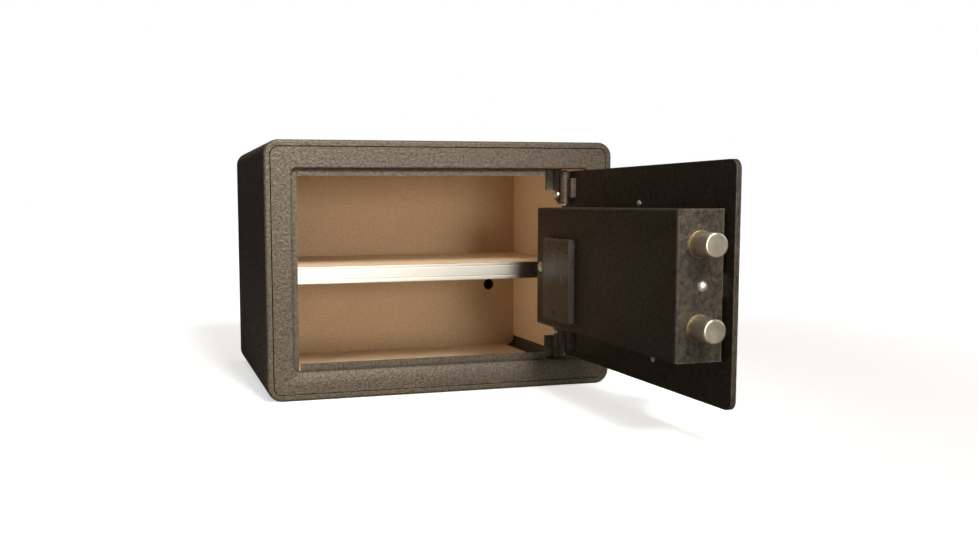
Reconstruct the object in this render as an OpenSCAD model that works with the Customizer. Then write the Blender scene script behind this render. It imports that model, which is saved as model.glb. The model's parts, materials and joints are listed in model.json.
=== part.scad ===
// Small steel in-room safe with an electronic lock, door shown standing open.
// Millimetres, +Z up. Origin: centre of the footprint, on the floor the safe stands on.
// The front of the cabinet faces -Y. The door hangs on the right and stands open at door_rest_angle.
// Everything on the door is drawn as if the door were shut and is then swung about the hinge.

/* [Cabinet] */
// Width over the outside of the cabinet
body_w = 358; // [340:1:400]
// Depth over the outside of the cabinet
body_d = 258; // [230:1:320]
// Height over the outside of the cabinet
body_h = 250; // [244:1:270]
// Thickness of the wrapped sheet
sheet_t = 2; // [1.5:0.1:2]
// Radius of the four long corners
body_corner_r = 14.5; // [12:0.5:18]
// Width of the folded lip round the front edge
lip_w = 6; // [5:0.5:7]
// Width of the dark seam between lip and front frame
seam_w = 0.8; // [0.5:0.1:1.2]

/* [Front frame] */
// Frame width at each side, from the outside of the cabinet to the door recess
frame_side = 26.4; // [25:0.1:28]
// Frame width above the door recess
frame_top = 27.4; // [26:0.1:29]
// Frame width below the door recess
frame_bottom = 28.2; // [27:0.1:30]
// Depth from the front face to the stop the door shuts against
recess_d = 5; // [5:0.1:6]
// Width of the stop on the lock side
stop_side = 5.2; // [4:0.1:6]
// Width of the stop along the top
stop_top = 6.6; // [5:0.1:8]
// Width of the stop along the bottom
stop_bottom = 7; // [5:0.1:8]
// Corner radius of the door recess
recess_r = 5; // [5:0.5:8]
// Bend radius where the frame's face folds into the recess
fold_r = 2.2; // [2.1:0.1:3]

/* [Door] */
// Angle at which the door is drawn, 0 shut and 90 square to the front
door_rest_angle = 90; // [0:1:120]
// Thickness of the door plate
door_t = 4.5; // [4:0.1:4.8]
// Gap all round between door and recess
door_gap = 1.5; // [1.2:0.1:2]
// Corner radius of the door plate
door_corner_r = 8; // [6:0.5:10]
// Distance from the hinge axis to the hinge edge of the door
hinge_inset = 19.2; // [18:0.1:20]
// Distance from the hinge axis to the inner face of the door
hinge_offset = 6.7; // [6.5:0.1:7]

/* [Mechanism cover] */
// Depth of the steel cover behind the door
cover_depth = 41.6; // [38:0.1:42]
// Height of the cover
cover_h = 117.4; // [115:0.1:119]
// Length of the cover along the door
cover_len = 260.3; // [256:0.1:262]
// Sheet thickness of the cover
cover_t = 1.5; // [1.2:0.1:2]

/* [Locking bolts] */
// Diameter of each locking bolt
bolt_d = 19.6; // [14:0.2:20]
// Height between the two bolts
bolt_spacing = 64; // [60:1:66]
// How far the bolts move between locked and unlocked
bolt_throw = 15; // [12:0.5:15]
// How far a thrown bolt stands past the cover's end wall
bolt_reach = 21.5; // [18:0.5:22]

/* [Shelf] */
// Height of the shelf's top above the floor
shelf_z = 125; // [122:1:130]
// Distance from the cabinet's front to the shelf's front edge
shelf_setback = 57; // [57:1:70]
// Height of the shelf's front trim
trim_h = 17; // [15:0.5:19]

/* [Keypad] */
// Width of one key
key_w = 15; // [12:0.5:16]
// Height of one key
key_h = 10.5; // [9:0.5:11]

/* [Hidden] */
$fn = 48;

// Cabinet planes
half_w = body_w / 2;
front_y = -body_d / 2;
back_y = body_d / 2;
fit = 0.02;                       // gap between pieces that are pressed or welded together
lining_t = 3.5;
lining_x = half_w - sheet_t - lining_t;      // inner face of the side linings
lining_y = back_y - sheet_t - lining_t;      // inner face of the back lining
corner_clear = 2;                            // linings stop this far short of the rounded corners
floor_anchor_xs = [-100, 100];
floor_anchor_d = 10;
wall_anchor_x = 140;
wall_anchor_z = 84;
wall_anchor_d = 12;

// Shelf
shelf_y0 = front_y + shelf_setback;
mat_t = 1.5;
panel_t = 1.2;
trim_t = 1.8;
rest_leg = 12;
panel_z1 = shelf_z - mat_t;
rest_screw_ys = [shelf_y0 + 30, lining_y - 30];

// Front frame and door recess
frame_inset = lip_w + seam_w;
recess_x = half_w - frame_side;
recess_z0 = frame_bottom;
recess_z1 = body_h - frame_top;
stop_y = front_y + recess_d;
stop_end_x = 107.5;               // top and bottom stops end here, short of the hinge
stop_slit = 1.2;                  // relief between the side stop and the top and bottom ones
weld_y = front_y + 10;            // where the frame turns out to meet the shell

// Door plate, drawn shut
door_x = recess_x - door_gap;
door_z0 = recess_z0 + door_gap;
door_z1 = recess_z1 - door_gap;
door_mid_z = (door_z0 + door_z1) / 2;
inner_y = front_y + door_t;       // the door's inner face
hinge_x = door_x - hinge_inset;
hinge_y = inner_y + hinge_offset;

// Hinges, upper one described, lower one mirrored about door_mid_z
knuckle_d = 9.6;
knuckle_z0 = 191.6;
knuckle_z1 = 219.8;
pin_d = 5;
pin_clearance = 0.06;
leaf_t = 5.6;
leaf_len = 13.4;
leaf_z0 = 194;
leaf_z1 = 213.5;
lug_z0 = 187.5;
lug_t = 3.8;
lug_r = 4.8;
bracket_t = 2.5;
bracket_back_y = hinge_y + 16.3;
bracket_x0 = hinge_x - 14.3;
bracket_foot_z = 201.7;
bracket_roof_z = 225;
bracket_x1 = 150;
web_x = hinge_x - 7.6;            // the web runs at a slant from here to its front edge
web_front = [hinge_x - 3.5, hinge_y + 5.2];
web_slant = atan((web_front.x - web_x) / (bracket_back_y - web_front.y));
stud_back = 8.8;                   // stud's distance from the bracket's back, and its height
stud_z = 197;
stud_d = 7.6;
stud_hole_d = 3.2;
stud_len = 2.2;

// Mechanism cover
cover_x0 = -door_x + 11.8;        // end wall beside the door's free edge
cover_x1 = cover_x0 + cover_len;
cover_mid_z = 125.3;
cover_z0 = cover_mid_z - cover_h / 2;
cover_z1 = cover_mid_z + cover_h / 2;
cover_y = inner_y + cover_depth;  // outside of the cover's face
cover_bend_r = 2.5;
cover_screw_x = cover_x1 - 14;
cover_stud_d = 9;
bushing_d = bolt_d + 1.2;
bushing_rim = 0.4;
rivet_y = inner_y + 19.2;

// Bolts and their carriage
bolt_y = inner_y + 21.4;
bolt_mid_z = 125.1;
bolt_zs = [bolt_mid_z - bolt_spacing / 2, bolt_mid_z + bolt_spacing / 2];
bolt_tip_x = cover_x0 - bolt_reach;
bolt_nose_r = 1.8;                // rounding of a bolt's end
carriage_x0 = cover_x0 + 21.3;
carriage_x1 = -39;
carriage_t = 2.5;
carriage_y = inner_y + 5;
carriage_z0 = 74;
carriage_z1 = 168;
guide_xs = [-95, -50];
guide_d = 6;
guide_head_d = 11;

// Knob, spindle and crank
knob_x = -43;
knob_z = 78;
knob_d = 38;
spindle_d = 8;
crank_r = bolt_throw / sqrt(2);   // a quarter turn moves the pin by the bolts' throw
crank_pin_d = 5;
crank_slack = 0.4;                // the slot is wider than the pin by this on each side
crank_y = inner_y + 0.8;
crank_t = 3;

// Solenoid, its plunger standing up, and the arm whose tooth the raised plunger blocks
plunger_x = -12;
plunger_y = inner_y + 8;
plunger_d = 6;
plunger_z0 = 99.6;
plunger_z1 = 124;
tail_d = 3;
tail_z0 = 87;
solenoid_z0 = 90;
solenoid_z1 = 122;
solenoid_half_w = 11;
solenoid_t = 1.5;
coil_z0 = 101;
coil_z1 = 119.5;
coil_d = 14;
flange_d = 15.4;
spring_d = 4.6;
spring_wire_d = 0.6;
tooth_w = 6;
tooth_h = 6;
tooth_gap = 1.2;                  // between the tooth and the raised plunger
arm_x0 = carriage_x1 - 16;
arm_x1 = plunger_x - plunger_d / 2 - tooth_gap;
arm_z0 = 132;
arm_z1 = 140;
arm_t = 2;
arm_stake_d = 3;
arm_stake_xs = [arm_x0 + 4, carriage_x1 - 4];

// Battery box and lid
lid_x0 = 33.7;
lid_x1 = 91.7;
lid_z0 = 76;
lid_z1 = 154.8;
lid_t = 6.2;
lid_axis_y = cover_y + lid_t / 2 + 0.05;
lid_axis_z = lid_z1 - lid_t / 2;
notch_w = 10.5;
notch_x1 = (lid_x0 + lid_x1 + notch_w) / 2;
rib_h = 0.6;
lid_overlap = 3;                  // how far the lid laps over its opening
cell_d = 14.2;
cell_len = 50;
cell_pitch = 15.4;
box_y0 = cover_y - 22.5;
contact_xs = [lid_x0 + 1, lid_x1 - 1.8];

// Electronics
board_y = inner_y + 6.5;
board_x0 = 29;
board_x1 = 95;
board_z0 = 80;
board_z1 = 150;
board_t = 1.6;

// Fascia and keypad on the outside of the door
fascia_x0 = -65;
fascia_x1 = 18;
fascia_z0 = 44;
fascia_z1 = 196;
fascia_t = 12;
fascia_wall = 2.5;
fascia_r = 14;
fascia_y = front_y - fascia_t;
fascia_mid_x = (fascia_x0 + fascia_x1) / 2;
key_pitch_x = 20;
key_pitch_z = 14.5;
key_top_z = 176;
key_proud = 1.5;
key_y1 = front_y - 5;
keypad_board_y = front_y - 3.6;
light_z = 114;
light_xs = [fascia_mid_x - 12, fascia_mid_x, fascia_mid_x + 12];
fascia_screw_at = [[-9.2, 187.8], [-37.9, 52.4]];

// Emergency lock
lock_x = 0;
lock_z = 78;
lock_d = 16;
plug_d = 10;
plug_y1 = inner_y + 18.5;
cover_pivot_z = lock_z + 16;
cable_hole = [5, 172];
cable_hole_d = 12;

steel_paint = [0.21, 0.19, 0.17];
inner_paint = [0.09, 0.08, 0.07];
tan_felt = [0.62, 0.47, 0.31];
bright_steel = [0.75, 0.74, 0.71];
zinc = [0.62, 0.60, 0.55];
black_plastic = [0.07, 0.07, 0.075];
green_board = [0.08, 0.30, 0.14];
brass = [0.72, 0.58, 0.32];
copper = [0.55, 0.25, 0.12];

// ---------- helpers ----------

// A box from its low and high corners
module slab(lo, hi) {
    translate(lo) cube(hi - lo);
}

// A rounded rectangle between two corners
module round_rect(lo, hi, r) {
    for (x = [lo.x + r, hi.x - r], y = [lo.y + r, hi.y - r])
        translate([x, y]) circle(r);
    translate([lo.x + r, lo.y]) square([hi.x - lo.x - 2 * r, hi.y - lo.y]);
    translate([lo.x, lo.y + r]) square([hi.x - lo.x, hi.y - lo.y - 2 * r]);
}

// A flat shape drawn in X and Z, made solid from y0 to y1
module upright(y0, y1) {
    translate([0, y1, 0]) rotate([90, 0, 0]) linear_extrude(y1 - y0) children();
}

// A flat shape drawn in X and Y, made solid from z0 to z1
module flat(z0, z1) {
    translate([0, 0, z0]) linear_extrude(z1 - z0) children();
}

// A flat shape drawn in Y and Z, made solid from x0 to x1
module sideways(x0, x1) {
    translate([x0, 0, 0]) rotate([90, 0, 90]) linear_extrude(x1 - x0) children();
}

// A round bar along X, Y or Z
module bar_x(d, x0, x1, y, z) {
    translate([x0, y, z]) rotate([0, 90, 0]) cylinder(d = d, h = x1 - x0);
}
module bar_y(d, y0, y1, x, z) {
    translate([x, y1, z]) rotate([90, 0, 0]) cylinder(d = d, h = y1 - y0);
}
module bar_z(d, z0, z1, x, y) {
    translate([x, y, z0]) cylinder(d = d, h = z1 - z0);
}

// A shallow dome on a plane, standing along +Z
module dome(d, h) {
    ball_r = (d * d / 4 + h * h) / (2 * h);
    intersection() {
        translate([0, 0, h - ball_r]) sphere(ball_r);
        cylinder(d = d + 1, h = h + 1);
    }
}

// A pan head on a plane, standing along +Z, domed down to edge_h at its rim
module pan_head(d, h, edge_h) {
    rise = h - edge_h;
    ball_r = (d * d / 4 + rise * rise) / (2 * rise);
    intersection() {
        translate([0, 0, h - ball_r]) sphere(ball_r);
        cylinder(d = d, h = h + 1);
    }
}

// A pan head screw along +Z: its head on z = 0, its shank below, a cross recess on top
module pan_screw(head_d, head_h, shank_d, shank_len) {
    difference() {
        union() {
            pan_head(head_d, head_h, head_h * 0.45);
            translate([0, 0, -shank_len]) cylinder(d = shank_d, h = shank_len + 0.1);
        }
        for (a = [0, 90]) rotate([0, 0, a])
            translate([-head_d * 0.27, -head_d * 0.05, head_h * 0.55])
                cube([head_d * 0.54, head_d * 0.1, head_h]);
    }
}

// The piece and its mirror image about the door's middle height
module both_hinges() {
    children();
    at_lower_hinge() children();
}
module at_lower_hinge() {
    translate([0, 0, door_mid_z]) mirror([0, 0, 1]) translate([0, 0, -door_mid_z]) children();
}

// Swings what is drawn on the shut door to the angle the door stands at
module on_door() {
    translate([hinge_x, hinge_y, 0]) rotate([0, 0, door_rest_angle])
        translate([-hinge_x, -hinge_y, 0]) children();
}

// Sweeps a profile round an upright rounded rectangle that is centred on X.
// Profile x runs inwards from the outline, y along the depth
module sweep_round(half, z0, z1, r) {
    mid = (z0 + z1) / 2;
    for (side = [0, 1], end = [0, 1])
        mirror([side, 0, 0])
            translate([0, 0, mid]) mirror([0, 0, end]) translate([0, 0, -mid]) {
                translate([half - r, 0, z1 - r])
                    rotate([90, 0, 0]) rotate_extrude(angle = 90)
                        translate([r, 0]) rotate(180) children();
                translate([0, 0, z1]) rotate([0, 90, 0])
                    linear_extrude(half - r) children();
                translate([half, 0, mid]) mirror([1, 0, 0])
                    linear_extrude((z1 - z0) / 2 - r) children();
            }
}

// Faces of a closed tube: n + 1 rings of points, joined, with a cap at each end
function tube_faces(n, sides) = concat(
    [[for (j = [0:sides - 1]) j]],
    [for (i = [0:n - 1], j = [0:sides - 1]) let (k = (j + 1) % sides)
        [i * sides + j, (i + 1) * sides + j, (i + 1) * sides + k, i * sides + k]],
    [[for (j = [sides - 1:-1:0]) n * sides + j]]);

// A round wire that follows a curve from one point to another, as one closed skin.
// The curve leaves the first point along out_a and arrives at the last along out_b
function curve_point(a, b, out_a, out_b, t) =
    a * pow(1 - t, 3) + (a + out_a) * 3 * t * pow(1 - t, 2)
    + (b + out_b) * 3 * t * t * (1 - t) + b * pow(t, 3);
function unit(v) = v / norm(v);
module wire(a, b, out_a, out_b, d) {
    n = 24;
    sides = 10;
    path = [for (i = [0:n]) curve_point(a, b, out_a, out_b, i / n)];
    along = [for (i = [0:n]) unit(path[min(i + 1, n)] - path[max(i - 1, 0)])];
    across = [for (t = along) unit(cross(t, [0.31, 0.17, 0.93]))];
    polyhedron(
        points = [for (i = [0:n], j = [0:sides - 1])
            let (up = cross(along[i], across[i]), s = 360 * j / sides)
            path[i] + d / 2 * (cos(s) * across[i] + sin(s) * up)],
        faces = tube_faces(n, sides));
}

// A coil spring along +Z as one closed skin
function coil_point(i, j, n, sides, d, wire_d, len, turns) =
    let (a = 360 * turns * i / n, b = 360 * j / sides, r = d / 2 + wire_d / 2 * cos(b))
    [r * cos(a), r * sin(a), wire_d / 2 + (len - wire_d) * i / n + wire_d / 2 * sin(b)];
module coil_spring(d, wire_d, len, turns) {
    n = round(turns * 16);
    sides = 8;
    polyhedron(
        points = [for (i = [0:n], j = [0:sides - 1]) coil_point(i, j, n, sides, d, wire_d, len, turns)],
        faces = tube_faces(n, sides));
}

// ---------- cabinet ----------

module body_shell() color(steel_paint) {
    bend_r = 2.6;
    difference() {
        sweep_round(half_w, 0, body_h, body_corner_r) {
            translate([0, front_y + bend_r]) square([sheet_t, body_d - bend_r]);
            translate([bend_r, front_y]) square([lip_w - bend_r, sheet_t]);
            intersection() {
                translate([bend_r, front_y + bend_r]) difference() {
                    circle(bend_r);
                    circle(bend_r - sheet_t);
                }
                translate([0, front_y]) square([bend_r + 0.01, bend_r + 0.01]);
            }
        }
        for (x = floor_anchor_xs) bar_z(floor_anchor_d, -1, sheet_t + 1, x, 0);
    }
}

module back_panel() color(steel_paint) {
    gap = sheet_t + fit;
    difference() {
        upright(back_y - sheet_t, back_y)
            round_rect([-half_w + gap, gap], [half_w - gap, body_h - gap], body_corner_r - gap);
        for (x = [-wall_anchor_x, wall_anchor_x])
            bar_y(wall_anchor_d, back_y - sheet_t - 1, back_y + 1, x, wall_anchor_z);
    }
}

module recess_outline(grow = 0) {
    round_rect([-recess_x - grow, recess_z0 - grow], [recess_x + grow, recess_z1 + grow],
        recess_r + grow);
}

module front_frame() color(steel_paint) {
    outer_r = body_corner_r - frame_inset;
    inset = frame_inset;
    shell_gap = sheet_t + fit;
    // the face of the frame
    upright(front_y, front_y + sheet_t) difference() {
        round_rect([-half_w + inset, inset], [half_w - inset, body_h - inset], outer_r);
        recess_outline(fold_r - 0.01);
    }
    // its outer edge turned back, then out to the shell
    upright(front_y, weld_y) difference() {
        round_rect([-half_w + inset, inset], [half_w - inset, body_h - inset], outer_r);
        round_rect([-half_w + inset + sheet_t, inset + sheet_t],
            [half_w - inset - sheet_t, body_h - inset - sheet_t], outer_r - sheet_t);
    }
    upright(weld_y - sheet_t, weld_y) difference() {
        round_rect([-half_w + shell_gap, shell_gap], [half_w - shell_gap, body_h - shell_gap],
            body_corner_r - shell_gap);
        round_rect([-half_w + inset + sheet_t, inset + sheet_t],
            [half_w - inset - sheet_t, body_h - inset - sheet_t], outer_r - sheet_t);
    }
    // the rounded fold into the recess
    sweep_round(recess_x, recess_z0, recess_z1, recess_r) intersection() {
        translate([-fold_r, front_y + fold_r]) difference() {
            circle(fold_r);
            circle(fold_r - sheet_t);
        }
        translate([-fold_r, front_y]) square([fold_r, fold_r + 0.01]);
    }
    // the recess wall and the stop behind the door, on three sides
    difference() {
        intersection() {
            union() {
                upright(front_y + fold_r, stop_y + sheet_t) difference() {
                    recess_outline(sheet_t);
                    recess_outline();
                }
                upright(stop_y, stop_y + sheet_t) difference() {
                    recess_outline(sheet_t);
                    translate([-recess_x + stop_side, recess_z0 + stop_bottom])
                        square([body_w, recess_z1 - recess_z0 - stop_top - stop_bottom]);
                }
            }
            slab([-half_w, front_y + 1, 0], [stop_end_x, 0, body_h]);
        }
        for (z = [recess_z0 - 0.1, recess_z1 - stop_top - 1])
            slab([-recess_x + stop_side, stop_y - 0.5, z],
                [-recess_x + stop_side + stop_slit, stop_y + 3, z + stop_top + 1.1]);
    }
    // the stop's edge folded back, for the thrown bolts to bear on
    strike_x = -recess_x + stop_side;
    slab([strike_x - sheet_t, stop_y, recess_z0 + 17], [strike_x, bolt_y - bolt_d / 2 - 0.6, recess_z1 - 17]);
}

// Bent from one strip: welded behind the frame, back over the door's corner, down as a foot,
// forward at a slant towards the knuckle, and under the knuckle as the lug that carries the pin
module hinge_bracket() {
    weld_z1 = body_h - frame_inset - 3.2;
    face_y = front_y + sheet_t + fit;
    waist_y = web_front.y + 6;
    difference() {
        union() {
            slab([bracket_x0, face_y, bracket_roof_z], [bracket_x1, face_y + bracket_t, weld_z1]);
            slab([bracket_x0, face_y, bracket_roof_z],
                [bracket_x1, bracket_back_y, bracket_roof_z + bracket_t]);
            slab([bracket_x0, bracket_back_y - bracket_t, bracket_foot_z],
                [web_x + bracket_t, bracket_back_y, bracket_roof_z + 1]);
            intersection() {
                flat(lug_z0, bracket_roof_z + 1) polygon([
                    [web_x, bracket_back_y], [web_x + bracket_t, bracket_back_y],
                    [web_front.x + bracket_t, web_front.y], web_front]);
                sideways(bracket_x0, bracket_x1) polygon([
                    [bracket_back_y, bracket_foot_z], [bracket_back_y, bracket_roof_z + 1],
                    [web_front.y, bracket_roof_z + 1], [web_front.y, lug_z0],
                    [web_front.y + 1, lug_z0], [waist_y, lug_z0 + 5], [waist_y, bracket_foot_z]]);
            }
            flat(lug_z0, lug_z0 + lug_t) {
                translate([web_front.x, hinge_y]) square([lug_r + 3, web_front.y - hinge_y + 0.8]);
                translate([hinge_x, hinge_y]) circle(lug_r);
            }
        }
        bar_z(pin_d + 2 * fit, lug_z0 - 1, lug_z0 + lug_t + 1, hinge_x, hinge_y);
        on_web() translate([0, 0, -5]) cylinder(d = stud_hole_d, h = 10);
    }
}

// Puts what is drawn along +Z on the slanted web's left face, at the stud
module on_web() {
    translate([web_x + stud_back * tan(web_slant), bracket_back_y - stud_back, stud_z])
        rotate([0, 0, web_slant]) rotate([0, -90, 0]) children();
}
module hinge_brackets() color(steel_paint) both_hinges() hinge_bracket();

module hinge_pins() color(bright_steel) both_hinges() {
    bar_z(pin_d, lug_z0 - 1.5, knuckle_z1 + 0.2, hinge_x, hinge_y);
    translate([hinge_x, hinge_y, knuckle_z1 + 0.1]) dome(7.6, 2.4);
}

module bracket_screws() color(bright_steel) both_hinges() on_web() {
    dome(stud_d, 3.6);
    translate([0, 0, -stud_len]) cylinder(d = stud_hole_d - 2 * fit, h = stud_len + 0.1);
}

module lining_back() color(tan_felt) difference() {
    upright(lining_y, back_y - sheet_t - fit)
        round_rect([-half_w + sheet_t + corner_clear, sheet_t + corner_clear],
            [half_w - sheet_t - corner_clear, body_h - sheet_t - corner_clear], body_corner_r - 4);
    for (x = [-wall_anchor_x, wall_anchor_x])
        bar_y(wall_anchor_d + 2, lining_y - 1, back_y, x, wall_anchor_z);
}

module lining_sides() color(tan_felt) for (side = [0, 1]) mirror([side, 0, 0])
    slab([lining_x, weld_y + 1, body_corner_r + corner_clear],
        [half_w - sheet_t - fit, lining_y - fit, body_h - body_corner_r - corner_clear]);

module lining_top() color(tan_felt)
    slab([-half_w + body_corner_r + corner_clear, weld_y + 12, body_h - sheet_t - lining_t],
        [half_w - body_corner_r - corner_clear, lining_y - fit, body_h - sheet_t - fit]);

module lining_floor() color(tan_felt) difference() {
    slab([-half_w + body_corner_r + corner_clear, weld_y + 1, sheet_t + fit],
        [half_w - body_corner_r - corner_clear, lining_y - fit, sheet_t + lining_t]);
    for (x = floor_anchor_xs) bar_z(14, 0, sheet_t + lining_t + 1, x, 0);
}

// ---------- shelf ----------

module shelf_panel() color(bright_steel) {
    x = lining_x - 0.5;
    slab([-x, shelf_y0 + trim_t, panel_z1 - panel_t], [x, lining_y - 1, panel_z1]);
    slab([-x + rest_leg + 4, shelf_y0 + trim_t, shelf_z - trim_h + 2.5],
        [x - rest_leg - 4, shelf_y0 + trim_t + panel_t, panel_z1]);
    slab([-x + rest_leg + 4, lining_y - 1 - panel_t, panel_z1 - 10],
        [x - rest_leg - 4, lining_y - 1, panel_z1]);
}

module shelf_mat() color(tan_felt)
    slab([-lining_x + 1, shelf_y0 + trim_t + 2.7, panel_z1 + fit], [lining_x - 1, lining_y - 1.5, shelf_z]);

// Aluminium edging: a ribbed face with a short lip over the mat's edge
module shelf_trim() color(bright_steel) {
    rib = 0.5;
    z0 = shelf_z - trim_h;
    sideways(-lining_x + 0.5, lining_x - 0.5) polygon([
        [shelf_y0, z0], [shelf_y0 + trim_t - fit, z0], [shelf_y0 + trim_t - fit, shelf_z + 0.1 - trim_t / 2],
        [shelf_y0 + trim_t + 2.5, shelf_z + 0.1 - trim_t / 2], [shelf_y0 + trim_t + 2.5, shelf_z + 0.3],
        [shelf_y0 + 0.4, shelf_z + 0.3], [shelf_y0, shelf_z - 0.1],
        [shelf_y0, shelf_z - 1.9], [shelf_y0 + rib, shelf_z - 2.2], [shelf_y0 + rib, shelf_z - 2.9],
        [shelf_y0 + rib * 0.2, shelf_z - 3.2], [shelf_y0 + rib * 0.2, z0 + 4.4],
        [shelf_y0 + rib, z0 + 4.1], [shelf_y0 + rib, z0 + 3.5], [shelf_y0, z0 + 3.2]]);
}

module shelf_rests() color(steel_paint) for (side = [0, 1]) mirror([side, 0, 0]) {
    z1 = panel_z1 - panel_t - fit;
    x1 = lining_x - fit;
    y0 = shelf_y0 + 8;
    y1 = lining_y - 8;
    slab([x1 - rest_leg, y0, z1 - 1.5], [x1, y1, z1]);
    difference() {
        slab([x1 - 1.5, y0, z1 - rest_leg], [x1, y1, z1]);
        for (y = rest_screw_ys) bar_x(4.2, x1 - 3, x1 + 1, y, z1 - rest_leg / 2 - 0.5);
    }
}

module shelf_rest_screws() color(bright_steel) for (side = [0, 1]) mirror([side, 0, 0])
    for (y = rest_screw_ys)
        translate([lining_x - fit - 1.5, y, panel_z1 - panel_t - fit - rest_leg / 2 - 0.5])
            rotate([0, -90, 0]) {
                pan_head(7.5, 2.4, 1);
                translate([0, 0, -1.4]) cylinder(d = 4, h = 1.5);
            }

// ---------- door ----------

module door_plate() color(steel_paint) on_door() difference() {
    union() {
        upright(front_y, inner_y) round_rect([-door_x, door_z0], [door_x, door_z1], door_corner_r);
        // stud the cover's screw goes into
        bar_y(cover_stud_d, inner_y - 1, cover_y - cover_t - fit, cover_screw_x, cover_mid_z);
    }
    bar_y(4 + 2 * fit, cover_y - 14, cover_y, cover_screw_x, cover_mid_z);
    bar_y(spindle_d + 2 * pin_clearance, front_y - 1, inner_y + 1, knob_x, knob_z);
    bar_y(lock_d + 0.4, front_y - 1, inner_y + 1, lock_x, lock_z);
    bar_y(cable_hole_d, front_y - 1, inner_y + 1, cable_hole[0], cable_hole[1]);
    for (at = fascia_screw_at) bar_y(3.6, front_y - 1, inner_y + 1, at[0], at[1]);
}

module hinge_knuckles() color(steel_paint) on_door() both_hinges() difference() {
    union() {
        bar_z(knuckle_d, knuckle_z0, knuckle_z1, hinge_x, hinge_y);
        slab([hinge_x - 3.4, inner_y + fit, leaf_z0], [hinge_x + 3.4, hinge_y - 1, leaf_z1]);
        slab([hinge_x - leaf_len, inner_y + fit, leaf_z0], [hinge_x, inner_y + leaf_t, leaf_z1]);
    }
    bar_z(pin_d + 2 * pin_clearance, knuckle_z0 - 1, knuckle_z1 + 1, hinge_x, hinge_y);
}

// The cover's solid form, shrunk by t on every folded side
module cover_form(t) {
    r = cover_bend_r - t;
    intersection() {
        flat(cover_z0 + t, cover_z1 - t) {
            translate([cover_x0 + t, inner_y - t]) square([cover_len - 2 * t, cover_depth - r]);
            translate([cover_x0 + t + r, inner_y - t]) square([cover_len - 2 * t - 2 * r, cover_depth]);
            for (x = [cover_x0 + t + r, cover_x1 - t - r]) translate([x, cover_y - t - r]) circle(r);
        }
        sideways(cover_x0, cover_x1) {
            translate([inner_y - t, cover_z0 + t]) square([cover_depth - r, cover_h - 2 * t]);
            translate([inner_y - t, cover_z0 + t + r]) square([cover_depth, cover_h - 2 * t - 2 * r]);
            for (z = [cover_z0 + t + r, cover_z1 - t - r]) translate([cover_y - t - r, z]) circle(r);
        }
    }
}

module mechanism_cover() color(inner_paint) on_door() difference() {
    intersection() {
        cover_form(0);
        slab([cover_x0 - 1, inner_y + fit, 0], [cover_x1 + 1, 0, body_h]);
    }
    cover_form(cover_t);
    for (z = bolt_zs) bar_x(bushing_d + 2 * fit, cover_x0 - 1, cover_x0 + 5, bolt_y, z);
    // the end wall stops short of the door plate
    slab([cover_x0 - 1, inner_y - 1, cover_z0 - 1], [cover_x0 + cover_t, inner_y + 1.5, cover_z1 + 1]);
    bar_x(3.6, cover_x0 - 1, cover_x0 + 5, rivet_y, cover_mid_z);
    bar_x(5.4, cover_x1 - 5, cover_x1 + 1, inner_y + 26, 150);
    bar_y(4.6, cover_y - 5, cover_y + 1, cover_screw_x, cover_mid_z);
    slab([lid_x0 + lid_overlap, cover_y - 5, lid_z0 + lid_overlap],
        [lid_x1 - lid_overlap, cover_y + 1, lid_z1 - lid_overlap - lid_t]);
}

module cover_screw() color(bright_steel) on_door()
    translate([cover_screw_x, cover_y, cover_mid_z]) rotate([-90, 0, 0]) pan_screw(10.5, 4.4, 4, 9);

// Bushings the bolts slide in, pressed into the cover's end wall
module bolt_bushings() color(brass) on_door() for (z = bolt_zs) difference() {
    union() {
        bar_x(bushing_d, cover_x0 - 0.3, cover_x0 + cover_t + 2, bolt_y, z);
        bar_x(bushing_d + 2 * bushing_rim, cover_x0 - 0.8, cover_x0 - fit, bolt_y, z);
    }
    bar_x(bolt_d + 0.2, cover_x0 - 2, cover_x0 + 6, bolt_y, z);
}

module end_bracket() color(zinc) on_door() difference() {
    x = cover_x0 + cover_t + fit;
    union() {
        slab([x, inner_y + fit, 116], [x + 1.5, rivet_y + 6, 135]);
        slab([x, inner_y + fit, 116], [x + 12, inner_y + 1.5, 135]);
    }
    bar_x(3.2 + 2 * fit, x - 1, x + 3, rivet_y, cover_mid_z);
}

module end_rivet() color(bright_steel) on_door()
    translate([cover_x0, rivet_y, cover_mid_z]) rotate([0, -90, 0]) {
        dome(9, 3.2);
        translate([0, 0, -5]) cylinder(d = 3.2, h = 5.1);
    }

// ---------- bolt work ----------

module carriage_guides() color(zinc) on_door() for (x = guide_xs) {
    y0 = carriage_y - 0.2;
    y1 = carriage_y + carriage_t + 0.2;
    bar_y(guide_head_d, inner_y + fit, y0, x, bolt_mid_z);
    bar_y(guide_d, y0 - 0.1, y1 + 0.1, x, bolt_mid_z);
    bar_y(guide_head_d, y1, y1 + 2.4, x, bolt_mid_z);
}

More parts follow.
